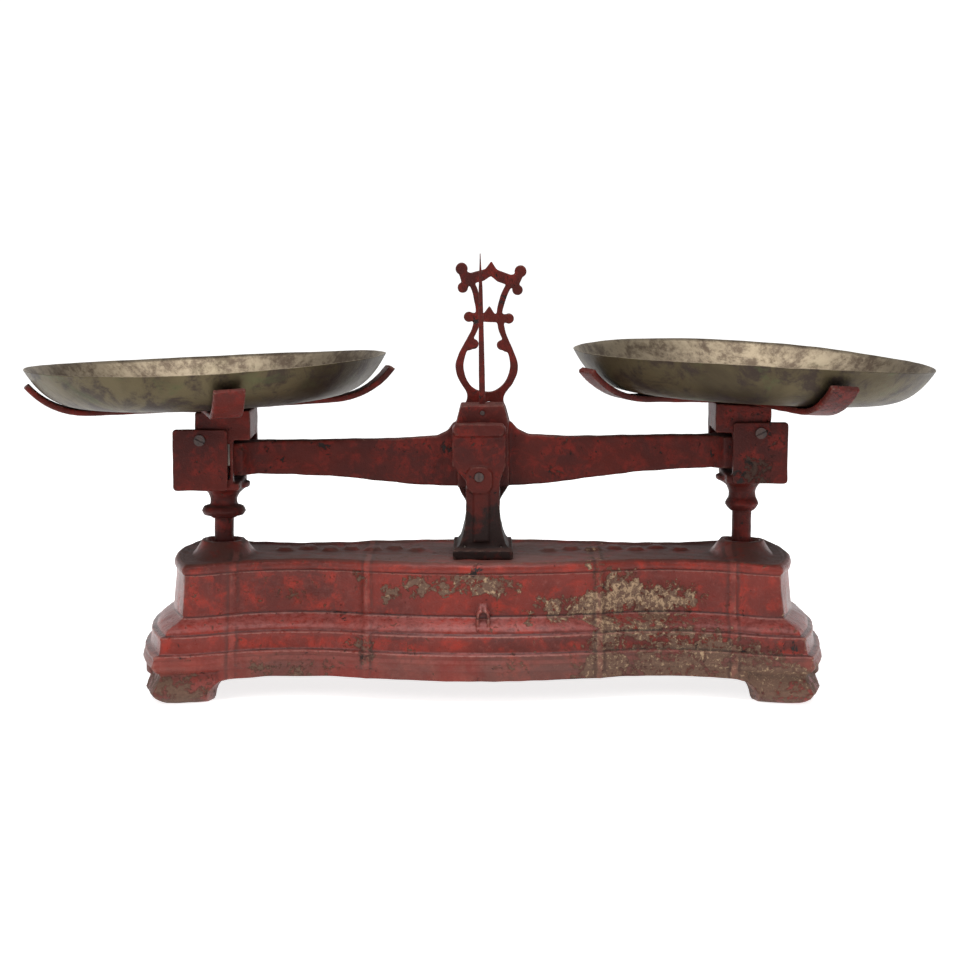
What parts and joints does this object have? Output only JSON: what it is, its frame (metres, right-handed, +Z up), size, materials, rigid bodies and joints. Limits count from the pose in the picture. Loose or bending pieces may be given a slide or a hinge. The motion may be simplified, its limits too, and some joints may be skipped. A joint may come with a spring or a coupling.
{
  "type": "counter_balance",
  "caption": "Antique cast-iron Roberval counter balance: moulded red base, knife-edge beam with needle, lyre index frame and two brass pans on four-armed carriers.",
  "frame": {"origin": "on the floor, under the centre of the whole balance", "axes": "x along the beam, left pan at -x; y to the back, needle side faces -y; z up"},
  "size_m": [0.595, 0.2411, 0.2835],
  "materials": {
    "red_paint": "worn red oil paint over cast iron, chipped and rusted",
    "maroon_paint": "dark worn maroon paint over cast iron",
    "dark_iron": "bare darkened iron",
    "steel": "old tool steel, dulled",
    "brass": "tarnished sheet brass"
  },
  "bodies": {
    "frame": {"base_casting": "red_paint", "column": "maroon_paint", "column_screws": "steel", "head_screw": "dark_iron", "column_bearing_front": "steel", "column_bearing_rear": "steel", "lyre": "maroon_paint", "lyre_screws": "steel", "link_bracket": "dark_iron", "link_centre_pin": "steel"},
    "beam": {"beam": "maroon_paint", "needle": "maroon_paint", "needle_pin": "dark_iron", "central_knife": "steel", "left_knife": "steel", "right_knife": "steel"},
    "link": {"lower_link": "dark_iron"},
    "left_support": {"left_stirrup": "maroon_paint", "left_stem": "maroon_paint", "left_shield": "maroon_paint", "left_shield_screw": "dark_iron", "left_bearing_front": "steel", "left_bearing_rear": "steel", "left_pan_carrier": "maroon_paint", "left_carrier_screw": "steel", "left_clevis": "dark_iron", "left_end_pin": "steel", "left_lock_nut": "steel"},
    "left_pan": {"left_pan": "brass"},
    "right_support": {"right_stirrup": "maroon_paint", "right_stem": "maroon_paint", "right_shield": "maroon_paint", "right_shield_screw": "dark_iron", "right_bearing_front": "steel", "right_bearing_rear": "steel", "right_pan_carrier": "maroon_paint", "right_carrier_screw": "steel", "right_clevis": "dark_iron", "right_end_pin": "steel", "right_lock_nut": "steel"},
    "right_pan": {"right_pan": "brass"}
  },
  "joints": [
    {"name": "beam_tilt", "type": "hinge", "parent": "frame", "child": "beam", "pos_m": [0, 0, 0.1535], "axis": [0, 1, 0], "range_deg": [-3.5, 5.5]},
    {"name": "link_tilt", "type": "hinge", "parent": "frame", "child": "link", "pos_m": [0, 0, 0.04], "axis": [0, 1, 0], "range_deg": [-3.5, 5.5]},
    {"name": "left_knife", "type": "hinge", "parent": "beam", "child": "left_support", "pos_m": [-0.17098, 0, 0.15111], "axis": [0, 1, 0], "range_deg": [-5.5, 3.5]},
    {"name": "left_pan_lift", "type": "slide", "parent": "left_support", "child": "left_pan", "axis": [-0.0419, 0.0244, 0.9988], "range_m": [0, 0.06]},
    {"name": "right_knife", "type": "hinge", "parent": "beam", "child": "right_support", "pos_m": [0.17098, 0, 0.15589], "axis": [0, 1, 0], "range_deg": [-5.5, 3.5]},
    {"name": "right_pan_lift", "type": "slide", "parent": "right_support", "child": "right_pan", "axis": [0.0541, 0, 0.9985], "range_m": [0, 0.06]}
  ],
  "couplings": [
    {"joint": "link_tilt", "follows": "beam_tilt", "ratio": 1},
    {"joint": "left_knife", "follows": "beam_tilt", "ratio": -1},
    {"joint": "right_knife", "follows": "beam_tilt", "ratio": -1}
  ]
}
